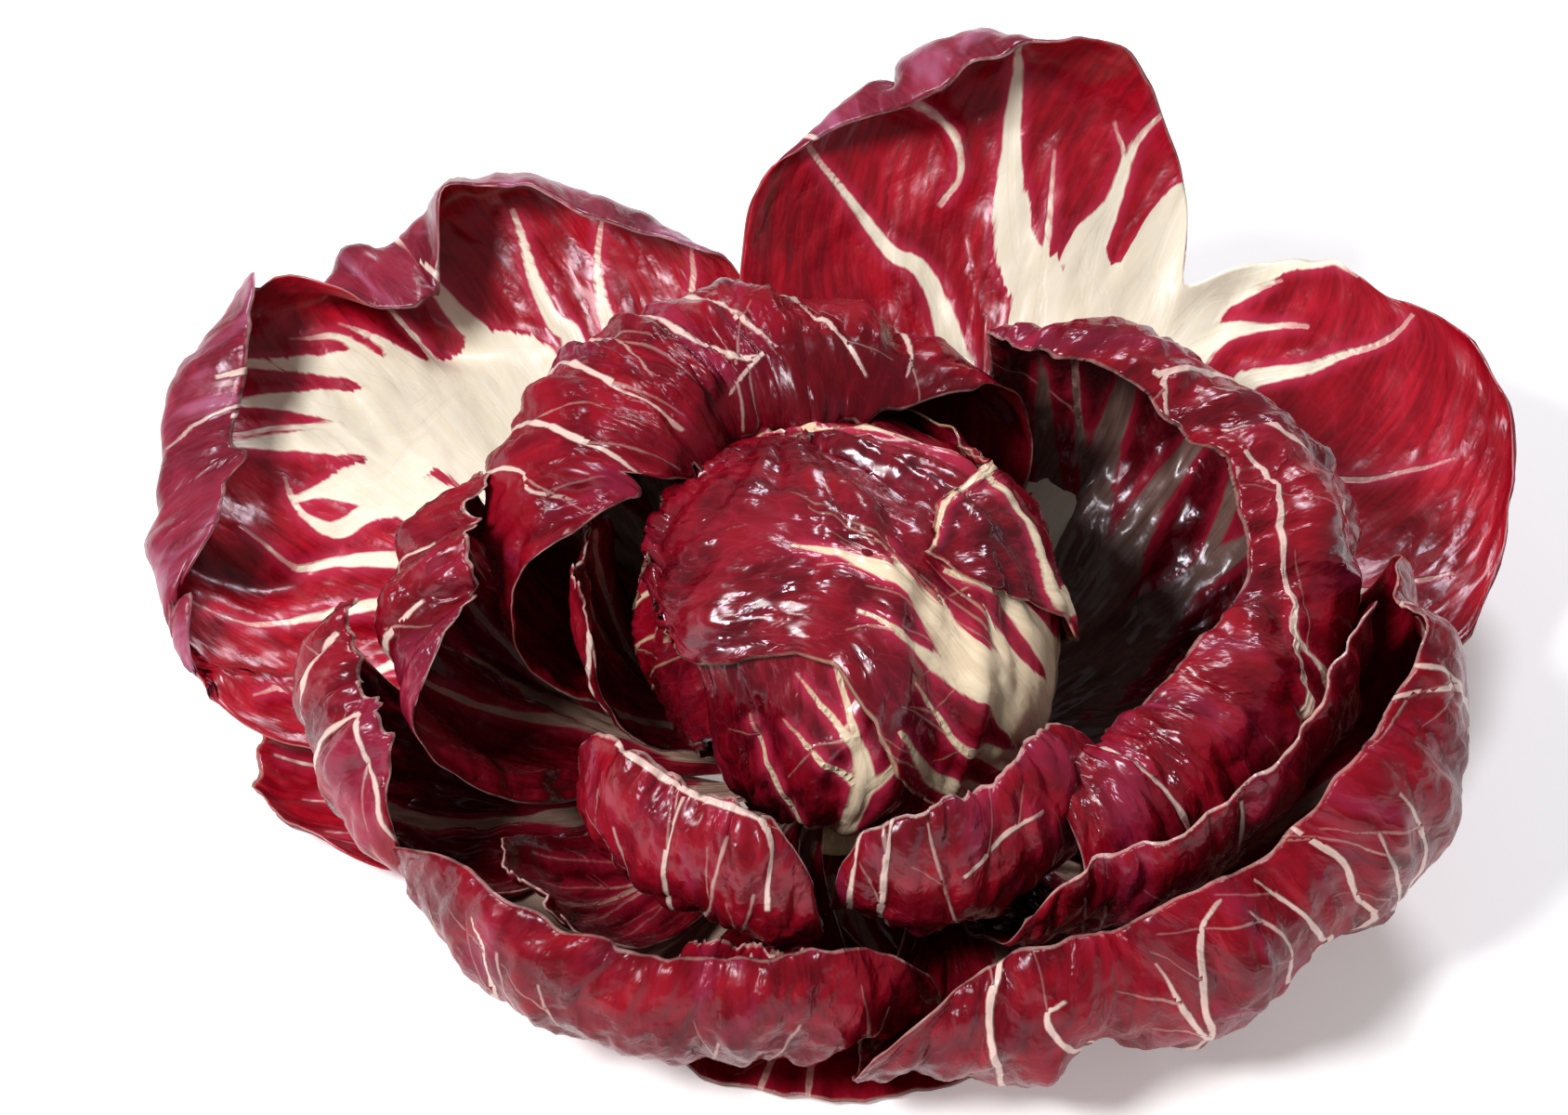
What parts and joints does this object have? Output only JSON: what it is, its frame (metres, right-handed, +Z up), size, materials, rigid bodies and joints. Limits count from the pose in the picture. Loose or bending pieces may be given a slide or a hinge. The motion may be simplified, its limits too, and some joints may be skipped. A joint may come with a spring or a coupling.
{
  "type": "radicchio head",
  "caption": "Opened head of red chicory with white-ribbed leaves spread round a wrapped heart, resting on its cut stump.",
  "frame": {"origin": "middle of the stump's flat cut face, on the surface the head stands on", "axes": "+Z up out of the stump towards the heart; +X to the right and -Y to the front, where the opened bowl shows the heart"},
  "size_m": [0.3121, 0.2282, 0.1176],
  "materials": {
    "open_leaf": "waxy, smooth living leaf with cream ribs",
    "rolled_leaf": "waxy, crumpled leaf back with a dull purple bloom and pale raised veins",
    "heart_leaf": "glossy, tightly wrapped leaf with broad cream ribs",
    "stump": "moist, fibrous cut stalk, slightly browned"
  },
  "bodies": {
    "root": {"stump": "stump", "outer_leaf_back_left": "open_leaf", "outer_leaf_left": "open_leaf", "outer_leaf_back_right": "open_leaf", "outer_leaf_front_right": "rolled_leaf", "outer_leaf_front_left": "rolled_leaf", "outer_leaf_front": "rolled_leaf", "hood_leaf_back": "rolled_leaf", "hood_leaf_right": "rolled_leaf", "cup_leaf_right": "rolled_leaf", "cup_leaf_left": "rolled_leaf", "cup_leaf_lower_left": "rolled_leaf", "inner_leaf_left": "rolled_leaf", "inner_leaf_front_left": "rolled_leaf", "inner_leaf_front_curl": "rolled_leaf", "inner_leaf_front": "rolled_leaf", "inner_leaf_front_right": "rolled_leaf", "heart_leaf_back": "heart_leaf", "heart_leaf_right": "heart_leaf", "heart_leaf_front": "heart_leaf", "heart_leaf_left": "heart_leaf", "heart_leaf_back_left": "heart_leaf", "heart_bud": "heart_leaf"}
  },
  "joints": []
}
